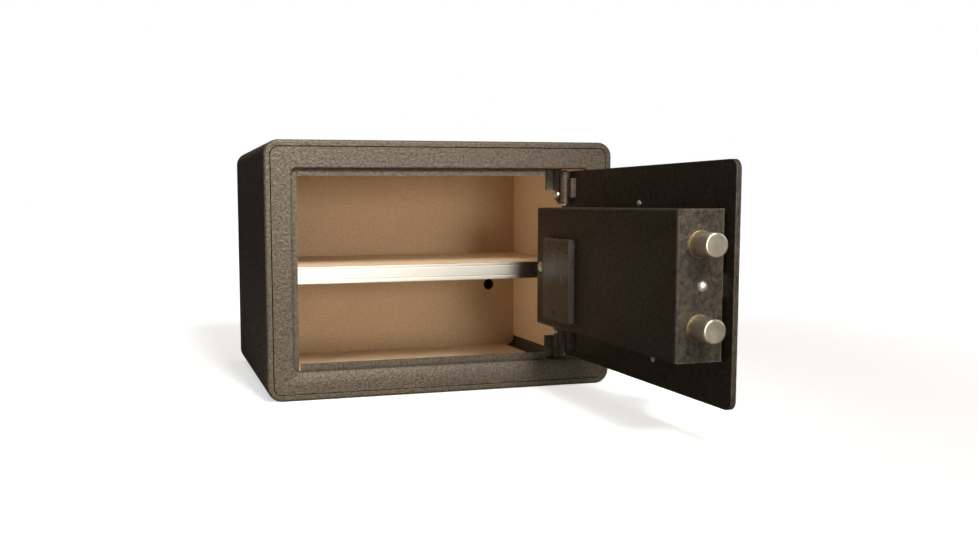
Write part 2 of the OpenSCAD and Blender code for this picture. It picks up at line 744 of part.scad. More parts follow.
module bolt_carriage() color(zinc) on_door() difference() {
    slot_w = crank_pin_d + 2 * crank_slack;
    pin_x = knob_x - bolt_throw / 2;
    union() {
        slab([carriage_x0, carriage_y, carriage_z0], [carriage_x1, carriage_y + carriage_t, carriage_z1]);
        // end flange that holds the bolts
        slab([carriage_x0, carriage_y, carriage_z0], [carriage_x0 + carriage_t, bolt_y + 9, carriage_z1]);
    }
    // slots for the guides
    for (x = guide_xs) {
        slab([x - bolt_throw, carriage_y - 1, bolt_mid_z - guide_d / 2 - 0.2],
            [x, carriage_y + carriage_t + 1, bolt_mid_z + guide_d / 2 + 0.2]);
        for (end_x = [x - bolt_throw, x])
            bar_y(guide_d + 0.4, carriage_y - 1, carriage_y + carriage_t + 1, end_x, bolt_mid_z);
    }
    // upright slot for the crank pin
    slab([pin_x - slot_w / 2, carriage_y - 1, knob_z + bolt_throw / 2 - slot_w / 2],
        [pin_x + slot_w / 2, carriage_y + carriage_t + 1, knob_z + crank_r + slot_w / 2 + 0.3]);
    for (x = arm_stake_xs)
        bar_y(arm_stake_d + 2 * fit, carriage_y - 1, carriage_y + carriage_t + 1, x, (arm_z0 + arm_z1) / 2);
    // shank holes in the flange
    for (z = bolt_zs) bar_x(8 + 2 * fit, carriage_x0 - 1, carriage_x0 + carriage_t + 1, bolt_y, z);
}

// Arm staked to the carriage. The raised plunger stands in the way of its tooth
module blocking_arm() color(zinc) on_door() {
    y0 = carriage_y + carriage_t + fit;
    upright(y0, y0 + arm_t) {
        translate([arm_x0, arm_z0]) square([arm_x1 - arm_x0, arm_z1 - arm_z0]);
        translate([arm_x1 - tooth_w, arm_z0 - tooth_h]) square([tooth_w, tooth_h + 1]);
    }
    for (x = arm_stake_xs) bar_y(arm_stake_d, carriage_y + 0.2, y0 + 0.5, x, (arm_z0 + arm_z1) / 2);
}

module locking_bolts() color(bright_steel) on_door() for (z = bolt_zs) {
    body_end = carriage_x0 - fit - bolt_tip_x;
    shank_end = carriage_x0 + carriage_t + 2 - bolt_tip_x;
    translate([bolt_tip_x, bolt_y, z]) rotate([0, 90, 0]) rotate_extrude() {
        translate([bolt_d / 2 - bolt_nose_r, bolt_nose_r]) intersection() {
            circle(bolt_nose_r);
            translate([0, -bolt_nose_r]) square(bolt_nose_r);
        }
        square([bolt_d / 2 - bolt_nose_r, bolt_nose_r]);
        translate([0, bolt_nose_r]) square([bolt_d / 2, body_end - bolt_nose_r]);
        translate([0, body_end - 1]) square([4, shank_end - body_end + 1]);
    }
}

module knob() color(black_plastic) on_door() translate([knob_x, fascia_y - 0.4, knob_z])
    rotate([90, 0, 0]) difference() {
        union() {
            cylinder(d = knob_d, h = 5);
            translate([0, 0, 5]) cylinder(d = knob_d - 5, h = 2.5);
            intersection() {
                translate([-6, -knob_d / 2, 7]) cube([12, knob_d, 13]);
                cylinder(d = knob_d - 5, h = 22);
                translate([0, 0, -14]) sphere(36);
            }
        }
        translate([0, 0, -1]) cylinder(d = spindle_d + 2 * fit, h = 13);
    }

// Spindle, crank arm and crank pin, riveted into one piece
module knob_crank() color(zinc) on_door() {
    pin = [knob_x - bolt_throw / 2, knob_z + bolt_throw / 2];
    bar_y(spindle_d, fascia_y - 12, crank_y + crank_t + 0.3, knob_x, knob_z);
    upright(crank_y, crank_y + crank_t) {
        translate([knob_x, knob_z]) circle(7);
        translate(pin) circle(4.2);
        translate([knob_x, knob_z]) rotate(135) translate([0, -3.4]) square([crank_r, 6.8]);
    }
    bar_y(crank_pin_d, crank_y + crank_t - 0.1, carriage_y + carriage_t + 1.5, pin[0], pin[1]);
}

// ---------- electric lock ----------

module solenoid_frame() color(zinc) on_door() difference() {
    x0 = plunger_x - solenoid_half_w;
    x1 = plunger_x + solenoid_half_w;
    slab([x0, inner_y + fit, solenoid_z0], [x1, plunger_y + 8, solenoid_z1]);
    slab([x0 + solenoid_t, inner_y - 1, solenoid_z0 + solenoid_t],
        [x1 - solenoid_t, plunger_y + 9, solenoid_z1 - solenoid_t]);
    bar_z(tail_d + 0.6, solenoid_z0 - 1, solenoid_z0 + 3, plunger_x, plunger_y);
    bar_z(plunger_d + 0.6, solenoid_z1 - 3, solenoid_z1 + 1, plunger_x, plunger_y);
}

module solenoid_coil() color(copper) on_door() difference() {
    union() {
        bar_z(coil_d, coil_z0, coil_z1, plunger_x, plunger_y);
        for (z = [coil_z0, coil_z1 - 1.5]) bar_z(flange_d, z, z + 1.5, plunger_x, plunger_y);
    }
    bar_z(plunger_d + 0.5, coil_z0 - 1, coil_z1 + 1, plunger_x, plunger_y);
}

module solenoid_plunger() color(bright_steel) on_door() {
    bar_z(plunger_d, plunger_z0, plunger_z1, plunger_x, plunger_y);
    bar_z(tail_d, tail_z0, plunger_z0 + 0.1, plunger_x, plunger_y);
}

module plunger_spring() color(bright_steel) on_door()
    translate([plunger_x, plunger_y, solenoid_z0 + solenoid_t + 0.1])
        coil_spring(spring_d, spring_wire_d, plunger_z0 - solenoid_z0 - solenoid_t - 0.2, 6);

module circuit_board() color(green_board) on_door() {
    y1 = board_y + board_t;
    slab([board_x0, board_y, board_z0], [board_x1, y1, board_z1]);
    slab([46, y1 - 0.1, 100], [60, y1 + 2.4, 114]);
    slab([70, y1 - 0.1, 92], [84, y1 + 1.8, 98]);
    slab([34, y1 - 0.1, 136], [44, y1 + 6, 144]);
    for (x = [72, 84]) bar_y(8, y1 - 0.1, y1 + 7.5, x, 130);
    for (x = [board_x0 + 4, board_x1 - 4], z = [board_z0 + 4, board_z1 - 4])
        bar_y(5, inner_y + fit, board_y + 0.1, x, z);
}

module cable_harness() color([0.6, 0.12, 0.1]) on_door() {
    socket_z = board_z1 - 5.9;
    socket_y = board_y + board_t + 3;
    ribbon_x = cable_hole[0];
    ribbon_z = cable_hole[1];
    for (i = [-1:1])
        wire([ribbon_x + i * 1.9, front_y - 1.8, ribbon_z], [36 + i * 2.4, socket_y, socket_z],
            [0, 22, 0], [0, 0, 34], 1.8);
    wire([plunger_x + solenoid_half_w + 1, plunger_y, 112], [42, socket_y, socket_z],
        [14, 6, 0], [0, 0, 32], 1.6);
}

// Four contact plates at each end of the box
module battery_contacts() color(zinc) on_door() for (i = [0:3], x = contact_xs)
    slab([x, box_y0 + 2.5, cell_z(i) - 5], [x + 0.8, box_y0 + 14, cell_z(i) + 5]);
function cell_z(i) = lid_z0 + 3 + cell_d / 2 + i * cell_pitch;

module battery_box() color(black_plastic) on_door() difference() {
    t = 1.5;
    x0 = lid_x0 - 1;
    x1 = lid_x1 + 1;
    slab([x0, box_y0, lid_z0 - 1], [x1, cover_y - cover_t - fit, lid_z1]);
    slab([x0 + t, box_y0 + t, lid_z0 + 2], [x1 - t, cover_y, lid_z1 - lid_t - 1]);
}

module battery_cells() color([0.75, 0.45, 0.12]) on_door() {
    x_mid = (lid_x0 + lid_x1) / 2;
    for (i = [0:3]) {
        flip = i % 2 == 0 ? 1 : -1;
        z = cell_z(i);
        y = box_y0 + 1.6 + cell_d / 2;
        bar_x(cell_d, x_mid - cell_len / 2 + (flip > 0 ? 0 : 1.5),
            x_mid + cell_len / 2 - (flip > 0 ? 1.5 : 0), y, z);
        bar_x(5.2, flip > 0 ? x_mid + cell_len / 2 - 1.6 : x_mid - cell_len / 2,
            flip > 0 ? x_mid + cell_len / 2 : x_mid - cell_len / 2 + 1.6, y, z);
    }
}

module battery_lid() color(black_plastic) on_door() difference() {
    y0 = cover_y + 0.05;
    y1 = y0 + lid_t;
    union() {
        difference() {
            union() {
                slab([lid_x0, y0, lid_z0], [lid_x1, y1, lid_axis_z]);
                bar_x(lid_t, lid_x0, lid_x1, lid_axis_y, lid_axis_z);
            }
            // hollow underside
            slab([lid_x0 + 1.6, y0 - 1, lid_z0 + 1.6], [lid_x1 - 1.6, y1 - 1.8, lid_axis_z - 4]);
        }
        // latch tongue that snaps behind the cover's sheet
        slab([lid_x0 + 24, y0 - 3.4, lid_z0 + 4.4], [lid_x1 - 24, y1 - 1, lid_z0 + 6]);
        // ribs low on the face: one along the bottom, one up the side
        slab([notch_x1 + 1, y1 - 1, lid_z0 + 4], [lid_x1 - 3, y1 + rib_h, lid_z0 + 5.6]);
        slab([lid_x0 + 2.6, y1 - 1, lid_z0 + 4], [lid_x0 + 3.6, y1 + rib_h, lid_z0 + 42]);
    }
    // finger notch
    slab([notch_x1 - notch_w, y1 - 1.2, lid_z0 + 5.5], [notch_x1, y1 + 1, lid_z0 + 9.5]);
}

module reset_button() color([0.7, 0.1, 0.08]) on_door() {
    y = inner_y + 26;
    bar_x(5, cover_x1 - 6, cover_x1 + 1.8, y, 150);
    bar_x(8, cover_x1 - 6, cover_x1 - 4, y, 150);
}

// ---------- outside of the door ----------

module key_window(x, z, grow) {
    slab([x - key_w / 2 - grow, fascia_y - 1, z - key_h / 2 - grow],
        [x + key_w / 2 + grow, front_y - 4, z + key_h / 2 + grow]);
}

module fascia() color(black_plastic) on_door() difference() {
    union() {
        difference() {
            upright(fascia_y, front_y - fit)
                round_rect([fascia_x0, fascia_z0], [fascia_x1, fascia_z1], fascia_r);
            upright(fascia_y + fascia_wall, front_y + 1)
                round_rect([fascia_x0 + fascia_wall, fascia_z0 + fascia_wall],
                    [fascia_x1 - fascia_wall, fascia_z1 - fascia_wall], fascia_r - fascia_wall);
        }
        for (at = fascia_screw_at) bar_y(7, fascia_y + 1, front_y - fit, at[0], at[1]);
        bar_y(13, fascia_y + 1, front_y - fit, knob_x, knob_z);
    }
    for (row = [0:3], col = [-1:1])
        key_window(fascia_mid_x + col * key_pitch_x, key_top_z - row * key_pitch_z, 0.4);
    for (x = light_xs) bar_y(4.1, fascia_y - 1, front_y, x, light_z);
    for (at = fascia_screw_at) bar_y(3 + 2 * fit, fascia_y + 3, front_y + 1, at[0], at[1]);
    bar_y(spindle_d + 0.4, fascia_y - 1, front_y + 1, knob_x, knob_z);
    bar_y(lock_d + 0.4, fascia_y - 1, front_y + 1, lock_x, lock_z);
    bar_y(3 + 2 * fit, fascia_y - 1, fascia_y + 4, lock_x, cover_pivot_z);
    // shallow field the keypad sits in
    upright(fascia_y - 1, fascia_y + 0.5)
        round_rect([fascia_x0 + 8, key_top_z - 3 * key_pitch_z - 10], [fascia_x1 - 8, key_top_z + 9.5], 5);
}

module fascia_screws() color(bright_steel) on_door() for (at = fascia_screw_at)
    translate([at[0], inner_y + fit, at[1]]) rotate([-90, 0, 0]) pan_screw(5.6, 2, 3, 11);

module status_lights() color([0.3, 0.75, 0.3]) on_door() for (x = light_xs) {
    bar_y(4, fascia_y, fascia_y + 5, x, light_z);
    translate([x, fascia_y + 0.05, light_z]) rotate([90, 0, 0]) dome(4, 0.8);
}

module keypad_board() color(green_board) on_door()
    slab([fascia_x0 + 7, keypad_board_y, light_z - 6],
        [fascia_x1 - 7, keypad_board_y + board_t, key_top_z + 8]);

module key(col, row) color([0.80, 0.80, 0.78]) on_door() {
    half = [key_w / 2, key_h / 2];
    rim = [1.2, 1.2];             // keeps the key behind its window
    at = [fascia_mid_x + (col - 1) * key_pitch_x, key_top_z - row * key_pitch_z];
    upright(fascia_y - key_proud, key_y1) round_rect(at - half, at + half, 1.6);
    upright(key_y1 - 2, key_y1) round_rect(at - half - rim, at + half + rim, 1.6);
}
module key_1() key(0, 0);
module key_2() key(1, 0);
module key_3() key(2, 0);
module key_4() key(0, 1);
module key_5() key(1, 1);
module key_6() key(2, 1);
module key_7() key(0, 2);
module key_8() key(1, 2);
module key_9() key(2, 2);
module key_star() key(0, 3);
module key_0() key(1, 3);
module key_hash() key(2, 3);

module lock_barrel() color(zinc) on_door() difference() {
    bar_y(lock_d, fascia_y + 0.2, plug_y1 - 2, lock_x, lock_z);
    bar_y(plug_d + 2 * pin_clearance, fascia_y - 1, plug_y1, lock_x, lock_z);
}

module lock_nut() color(zinc) on_door() difference() {
    translate([lock_x, inner_y + 4.5, lock_z]) rotate([90, 0, 0]) cylinder(d = 21.6, h = 4.4, $fn = 6);
    bar_y(lock_d + 2 * fit, inner_y - 1, inner_y + 6, lock_x, lock_z);
}

module lock_plug() color(bright_steel) on_door() difference() {
    bar_y(plug_d, fascia_y + 0.4, plug_y1, lock_x, lock_z);
    slab([lock_x - 0.8, fascia_y - 1, lock_z - 3.6], [lock_x + 0.8, fascia_y + 9, lock_z + 3.6]);
}

module lock_cam() color(zinc) on_door() {
    upright(plug_y1 + fit, plug_y1 + 2) {
        translate([lock_x, lock_z]) circle(6);
        translate([lock_x, lock_z - 4]) square([20, 8]);
        translate([lock_x + 20, lock_z]) circle(4);
    }
    bar_y(6, plug_y1 + 1.9, plug_y1 + 4, lock_x, lock_z);
}

module keyhole_cover() color(black_plastic) on_door() {
    upright(fascia_y - 2.6, fascia_y - 0.2) {
        translate([lock_x, lock_z]) circle(12);
        translate([lock_x, cover_pivot_z]) circle(5);
        translate([lock_x - 5, lock_z]) square([10, cover_pivot_z - lock_z]);
    }
    bar_y(3, fascia_y - 1, fascia_y + 3.5, lock_x, cover_pivot_z);
}

body_shell();
back_panel();
front_frame();
hinge_brackets();
hinge_pins();
bracket_screws();
lining_back();
lining_sides();
lining_top();
lining_floor();
shelf_panel();
shelf_mat();
shelf_trim();
shelf_rests();
shelf_rest_screws();
door_plate();
hinge_knuckles();
mechanism_cover();
cover_screw();
bolt_bushings();
end_bracket();
end_rivet();
fascia();
fascia_screws();
status_lights();
keypad_board();
lock_barrel();
lock_nut();
carriage_guides();
solenoid_frame();
solenoid_coil();
plunger_spring();
circuit_board();
cable_harness();
battery_box();
battery_contacts();
battery_cells();
knob();
knob_crank();
bolt_carriage();
blocking_arm();
locking_bolts();
solenoid_plunger();
lock_plug();
lock_cam();
keyhole_cover();
battery_lid();
reset_button();
key_1();
key_2();
key_3();
key_4();
key_5();
key_6();
key_7();
key_8();
key_9();
key_star();
key_0();
key_hash();
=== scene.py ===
import json
import math

import bmesh
import bpy
from mathutils import Matrix, Vector


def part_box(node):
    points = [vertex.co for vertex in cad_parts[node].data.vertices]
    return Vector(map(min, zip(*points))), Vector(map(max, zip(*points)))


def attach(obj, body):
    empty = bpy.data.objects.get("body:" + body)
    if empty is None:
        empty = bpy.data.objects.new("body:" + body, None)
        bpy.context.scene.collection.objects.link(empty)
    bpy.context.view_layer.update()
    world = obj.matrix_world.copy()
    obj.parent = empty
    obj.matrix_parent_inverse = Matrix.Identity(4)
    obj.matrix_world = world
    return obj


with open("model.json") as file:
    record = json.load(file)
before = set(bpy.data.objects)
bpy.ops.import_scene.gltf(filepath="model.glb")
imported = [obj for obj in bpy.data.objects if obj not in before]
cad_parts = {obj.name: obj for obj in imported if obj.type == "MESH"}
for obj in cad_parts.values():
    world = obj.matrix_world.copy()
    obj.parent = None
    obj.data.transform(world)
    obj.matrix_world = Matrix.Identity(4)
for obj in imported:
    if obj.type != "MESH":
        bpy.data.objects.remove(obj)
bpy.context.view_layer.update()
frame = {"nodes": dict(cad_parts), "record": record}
nodes = frame["nodes"]
body_of_node = {n: b for b, ns in frame["record"]["behaviour"]["bodies"].items() for n in ns}
slot_of_node = {s["node"]: s["material_slot"] for s in frame["record"]["subparts"]}
MM = 0.001


# ---------- materials ----------

LEATHER_GRAIN = 390.0               # lumps of the paint's grain per metre
# colour of the painted shade laid deep in creases and corners
CREASE_SHADE = (0.006, 0.005, 0.004)
STAIN = (0.35, 0.27, 0.19)
DUST = (0.35, 0.32, 0.28)


class Shader:
    """One node material, built link by link. Coordinates are metres in the object's own frame."""

    def __init__(self, name):
        self.material = bpy.data.materials.new(name)
        self.material.use_nodes = True
        self.tree = self.material.node_tree
        self.tree.nodes.clear()
        self.surface = self.node("ShaderNodeBsdfPrincipled")
        out = self.node("ShaderNodeOutputMaterial")
        self.tree.links.new(self.surface.outputs[0], out.inputs[0])
        self.at = self.node("ShaderNodeTexCoord").outputs["Object"]

    def node(self, kind, **settings):
        made = self.tree.nodes.new(kind)
        for name, value in settings.items():
            setattr(made, name, value)
        return made

    def put(self, socket, value):
        if isinstance(value, bpy.types.NodeSocket):
            self.tree.links.new(value, socket)
        elif isinstance(value, (tuple, list)) and len(value) == 3 and socket.type == "RGBA":
            socket.default_value = (*value, 1)
        else:
            socket.default_value = value

    def set(self, **inputs):
        for name, value in inputs.items():
            self.put(self.surface.inputs[name.replace("_", " ")], value)
        return self

    def spread(self, scale):
        """The coordinates, scaled by a different amount along each axis."""
        m = self.node("ShaderNodeMapping")
        self.put(m.inputs["Vector"], self.at)
        m.inputs["Scale"].default_value = scale
        return m.outputs[0]

    def noise(self, scale, detail=3.0, rough=0.5, at=None):
        n = self.node("ShaderNodeTexNoise")
        self.put(n.inputs["Vector"], at or self.at)
        n.inputs["Scale"].default_value = scale
        n.inputs["Detail"].default_value = detail
        n.inputs["Roughness"].default_value = rough
        return n.outputs["Fac"]

    def cells(self, scale, feature, rand, at=None):
        n = self.node("ShaderNodeTexVoronoi", feature=feature)
        self.put(n.inputs["Vector"], at or self.at)
        n.inputs["Scale"].default_value = scale
        n.inputs["Randomness"].default_value = rand
        return n.outputs["Distance"]

    def wobble(self, scale, amount):
        """The coordinates pushed about by a noise."""
        n = self.node("ShaderNodeTexNoise")
        self.put(n.inputs["Vector"], self.at)
        n.inputs["Scale"].default_value = scale
        add = self.node("ShaderNodeVectorMath", operation="MULTIPLY_ADD")
        self.put(add.inputs[0], n.outputs["Color"])
        add.inputs[1].default_value = (amount,) * 3
        self.put(add.inputs[2], self.at)
        return add.outputs[0]

    def map(self, value, lo, hi, out_lo=0.0, out_hi=1.0, smooth=False):
        n = self.node("ShaderNodeMapRange", interpolation_type="SMOOTHSTEP" if smooth else "LINEAR")
        self.put(n.inputs[0], value)
        for i, v in enumerate((lo, hi, out_lo, out_hi)):
            self.put(n.inputs[i + 1], v)
        return n.outputs[0]

    def math(self, op, a, b):
        n = self.node("ShaderNodeMath", operation=op)
        self.put(n.inputs[0], a)
        self.put(n.inputs[1], b)
        return n.outputs[0]

    def mix(self, fac, a, b):
        n = self.node("ShaderNodeMix", data_type="RGBA")
        self.put(n.inputs[0], fac)
        self.put(n.inputs[6], a)
        self.put(n.inputs[7], b)
        return n.outputs[2]

    def bump(self, height, distance, strength):
        n = self.node("ShaderNodeBump")
        self.put(n.inputs["Height"], height)
        n.inputs["Distance"].default_value = distance
        n.inputs["Strength"].default_value = strength
        return n.outputs[0]

    def edge(self, radius):
        """1 along the edges of the shape, 0 away from them."""
        b = self.node("ShaderNodeBevel", samples=4)
        b.inputs["Radius"].default_value = radius
        g = self.node("ShaderNodeNewGeometry")
        d = self.node("ShaderNodeVectorMath", operation="DOT_PRODUCT")
        self.put(d.inputs[0], b.outputs[0])
        self.put(d.inputs[1], g.outputs["True Normal"])
        return self.map(self.math("SUBTRACT", 1.0, d.outputs["Value"]), 0.02, 0.25)

    def creases(self, reach):
        """Rises towards 1 deep in folds and corners, 0 in the open; the mask for painted shade."""
        n = self.node("ShaderNodeAmbientOcclusion", samples=6, only_local=True)
        n.inputs["Distance"].default_value = reach
        return self.map(n.outputs["AO"], 0.35, 0.9, 0.85, 0.0)


def tinted(colour, amount):
    """The colour made lighter or darker, never past white."""
    return tuple(min(1.0, c * amount) for c in colour)


def textured_paint(name, dark, light, relief=0.8 * MM, mottle=0.25, fleck=2.0, wear_and_highlight=(0.17, 0.145, 0.115),
                   edge_reach=0.8 * MM, wear_and_highlight_amount=0.5, lit_end_flecks=False):
    """Powder coat with a fine leather grain, painted shade in its creases and lighter marks along its
    edges, wear that a wide reach turns into a painted highlight along the bends; the last switch keeps
    the lighter blotches to faces turned to -Y, painting light on the lit end.
    """
    s = Shader(name)
    at = s.wobble(310.0, 0.0012)
    pebble = s.noise(LEATHER_GRAIN, 2.0, 0.55, at=at)
    fine = s.noise(LEATHER_GRAIN * 2.7, 2.0, 0.6)
    blotch = s.noise(210.0, 5.0, 0.75)
    broad = s.noise(8.0, 4.0, 0.55)
    height = s.math("ADD", pebble, s.math("MULTIPLY", fine, 0.4))
    crest = s.map(height, 0.56, 0.84)
    colour = s.mix(crest, dark, light)
    patches = s.map(blotch, 0.42, 0.62, 0.0, mottle)
    # optionally lighter blotches only on faces turned to -Y: light painted on the lit end
    if lit_end_flecks:
        turned = s.node("ShaderNodeSeparateXYZ")
        s.put(turned.inputs[0], s.node("ShaderNodeTexCoord").outputs["Normal"])
        patches = s.math("MULTIPLY", patches, s.map(turned.outputs["Y"], -0.9, -0.5, 1.0, 0.3))
    colour = s.mix(patches, colour, tinted(light, fleck))
    colour = s.mix(s.map(broad, 0.35, 0.7, 0.0, 0.30), colour, tinted(dark, 0.75))
    # lighter edge marks: wear, and with a wide reach a painted highlight along the bends
    edge_marks = s.math("MULTIPLY", s.edge(edge_reach), s.map(s.noise(160.0, 4.0, 0.65), 0.30, 0.62))
    colour = s.mix(s.math("MULTIPLY", edge_marks, wear_and_highlight_amount), colour, wear_and_highlight)
    # painted shade: darker deep in creases and corners
    colour = s.mix(s.creases(4.5 * MM), colour, CREASE_SHADE)
    s.set(Base_Color=colour, Roughness=s.map(crest, 0.0, 1.0, 0.60, 0.44),
          Specular_IOR_Level=0.5, Normal=s.bump(height, relief, 0.9))
    return s.material


def felt(name, colour):
    """Short pile glued to the steel, brushed unevenly."""
    s = Shader(name)
    at = s.wobble(900.0, 0.0009)
    pile = s.noise(2600.0, 2.0, 0.7, at=at)
    tufts = s.noise(420.0, 4.0, 0.65)
    brushed = s.noise(14.0, 4.0, 0.6)
    stain = s.noise(4.0, 3.0, 0.5)
    red, green, blue = colour
    tint = s.mix(s.map(tufts, 0.3, 0.7), tinted(colour, 0.80), tinted(colour, 1.12))
    tint = s.mix(s.map(brushed, 0.4, 0.7, 0.0, 0.4), tint, tinted(colour, 0.82))
    tint = s.mix(s.map(stain, 0.5, 0.75, 0.0, 0.22), tint, (red * 0.72, green * 0.66, blue * 0.58))
    height = s.math("ADD", pile, s.math("MULTIPLY", tufts, 1.4))
    s.set(Base_Color=tint, Roughness=0.95, Sheen_Weight=0.35, Sheen_Roughness=0.5,
          Specular_IOR_Level=0.15, Normal=s.bump(height, 0.25 * MM, 0.8))
    s.put(s.surface.inputs["Sheen Tint"], (0.9, 0.75, 0.58))
    return s.material


def metal(name, colour, rough, grain, stretch=(1, 1, 1), relief=0.01 * MM, stain_amount=0.35,
          streak=0.10, uneven=0.12):
    """Bare or plated metal with a directional grain, soft stains and fine scratches."""
    s = Shader(name)
    lines = s.noise(grain, 3.0, 0.55, at=s.spread(stretch))
    cloud = s.noise(48.0, 4.0, 0.55)
    spots = s.map(s.noise(240.0, 3.0, 0.6), 0.60, 0.75)
    tint = s.mix(s.map(lines, 0.3, 0.7), tinted(colour, 1 - streak), colour)
    tint = s.mix(s.math("MULTIPLY", s.map(cloud, 0.45, 0.75), stain_amount), tint, STAIN)
    tint = s.mix(s.math("MULTIPLY", spots, stain_amount * 0.4), tint, tinted(STAIN, 0.6))
    roughness = s.math("ADD", s.map(lines, 0.25, 0.75, rough - 0.04, rough + 0.07),
                       s.math("MULTIPLY", s.map(cloud, 0.45, 0.7), uneven))
    s.set(Base_Color=tint, Metallic=1.0, Roughness=roughness, Normal=s.bump(lines, relief, 0.5))
    return s.material


def plastic(name, colour, rough, relief=0.03 * MM, dust=0.08, coat=0.0, rubbed=0.22, uneven=1.0):
    """Moulded plastic with a fine spark texture, handling marks and a little dust."""
    s = Shader(name)
    fine = s.noise(900.0, 3.0, 0.65)
    rub = s.noise(38.0, 5.0, 0.6)
    tint = s.mix(s.map(fine, 0.35, 0.7), tinted(colour, 0.88), tinted(colour, 1.1))
    dusty = s.map(s.noise(120.0, 6.0, 0.75), 0.56, 0.74)
    tint = s.mix(s.math("MULTIPLY", dusty, dust), tint, DUST)
    edge_marks = s.math("MULTIPLY", s.edge(0.5 * MM), s.map(rub, 0.42, 0.65))
    tint = s.mix(s.math("MULTIPLY", edge_marks, rubbed), tint, tuple(min(1.0, c * 2.2 + 0.04) for c in colour))
    s.set(Base_Color=tint, Roughness=s.map(rub, 0.35, 0.7, rough - 0.07 * uneven, rough + 0.09 * uneven),
          Specular_IOR_Level=0.5, Coat_Weight=coat, Normal=s.bump(fine, relief, 0.7))
    return s.material


def board_green(name):
    """Circuit board under green resist, with its tracks and tinned pads."""
    s = Shader(name)
    tracks = s.cells(260.0, "DISTANCE_TO_EDGE", 0.35, at=s.spread((1.0, 1.0, 1.6)))
    line = s.map(tracks, 0.05, 0.09, 1.0, 0.0)
    pads = s.map(s.cells(420.0, "F1", 0.2), 0.16, 0.2, 1.0, 0.0)
    tint = s.mix(line, (0.012, 0.075, 0.028), (0.03, 0.14, 0.05))
    tint = s.mix(pads, tint, (0.60, 0.55, 0.42))
    s.set(Base_Color=tint, Roughness=s.map(s.noise(90.0), 0.3, 0.7, 0.22, 0.4), Coat_Weight=0.3,
          Normal=s.bump(s.math("ADD", line, pads), 0.04 * MM, 0.6))
    return s.material


PAINT = textured_paint("textured_paint", (0.028, 0.022, 0.015), (0.087, 0.067, 0.045))
# A darker copy of the same paint, painting shade on the door's inside; its edge marks widen into a
# painted highlight along the bends, and its lighter flecks are painted only on the lit end
SHADED_PAINT = textured_paint("inner_paint", (0.009, 0.0070, 0.0045), (0.028, 0.0222, 0.0152), 0.6 * MM,
                             mottle=0.8, fleck=3.0, wear_and_highlight=(0.24, 0.19, 0.155), edge_reach=2.4 * MM,
                             wear_and_highlight_amount=0.7, lit_end_flecks=True)
FELT = felt("lining_felt", (0.72, 0.54, 0.36))
CHROME = metal("bright_steel", (0.86, 0.82, 0.78), 0.33, 600.0, relief=0.003 * MM, stain_amount=0.05,
               streak=0.04, uneven=0.05)
ZINC = metal("zinc_plate", (0.56, 0.54, 0.50), 0.38, 800.0, relief=0.02 * MM, stain_amount=0.3)
ALUMINIUM = metal("shelf_aluminium", (0.60, 0.59, 0.565), 0.44, 700.0, (0.004, 1, 1), 0.001 * MM,
                  stain_amount=0.0, streak=0.04, uneven=0.02)
BOLT = metal("bolt_steel", (0.80, 0.74, 0.62), 0.37, 90.0, relief=0.001 * MM, stain_amount=0.12,
             streak=0.16, uneven=0.02)
SPRING = metal("spring_steel", (0.70, 0.69, 0.66), 0.25, 900.0)
BRASS = metal("brass_plug", (0.74, 0.58, 0.36), 0.38, 600.0, relief=0.003 * MM, stain_amount=0.1)
# A darker copy of the brass, painting shade on the bushings
SHADED_BRASS = metal("shaded_brass", (0.36, 0.27, 0.16), 0.50, 300.0, relief=0.003 * MM, stain_amount=0.4)
SATIN = metal("satin_steel", (0.95, 0.88, 0.82), 0.52, 500.0, relief=0.003 * MM, stain_amount=0.05,
              streak=0.04, uneven=0.05)
COPPER = metal("copper_wire", (0.62, 0.25, 0.10), 0.30, 1400.0, (0.05, 0.05, 1), 0.12 * MM)
BLACK = plastic("fascia_plastic", (0.018, 0.018, 0.019), 0.46, relief=0.05 * MM)
KNOB = plastic("knob_plastic", (0.022, 0.022, 0.024), 0.36)
LID = plastic("lid_plastic", (0.050, 0.043, 0.037), 0.28, relief=0.012 * MM, dust=0.0, rubbed=0.05,
              uneven=0.15)
KEYS = plastic("key_plastic", (0.62, 0.61, 0.57), 0.42, relief=0.02 * MM, dust=0.10)
DIGIT = plastic("key_numerals", (0.03, 0.03, 0.035), 0.5)
RED = plastic("button_plastic", (0.52, 0.03, 0.02), 0.34)
LENS = plastic("light_lens", (0.10, 0.42, 0.14), 0.12, dust=0.02, coat=0.5)
WIRE = plastic("wire_sleeve", (0.45, 0.04, 0.03), 0.38)
CELL = plastic("cell_sleeve", (0.60, 0.33, 0.06), 0.25, coat=0.4)
BOARD = board_green("board")

BY_SLOT = {
    "textured_paint": PAINT, "lining_felt": FELT, "bright_steel": CHROME, "zinc_plate": ZINC,
    "shelf_aluminium": ALUMINIUM, "bolt_steel": BOLT, "spring_steel": SPRING, "fascia_plastic": BLACK,
    "knob_plastic": KNOB, "lid_plastic": LID, "key_plastic": KEYS, "button_plastic": RED,
    "light_lens": LENS, "board": BOARD, "copper_wire": COPPER, "wire_sleeve": WIRE, "cell_sleeve": CELL,
    "brass_plug": BRASS,
}
# Nodes given a material other than their slot's: a darker copy of the paint painting shade on the door's
# inside, a darker copy of brass painting shade on the bushings, and satin steel on the rivet
SPECIAL = {"mechanism_cover": SHADED_PAINT, "door_plate": SHADED_PAINT, "bolt_bushings": SHADED_BRASS,
           "end_rivet": SATIN}

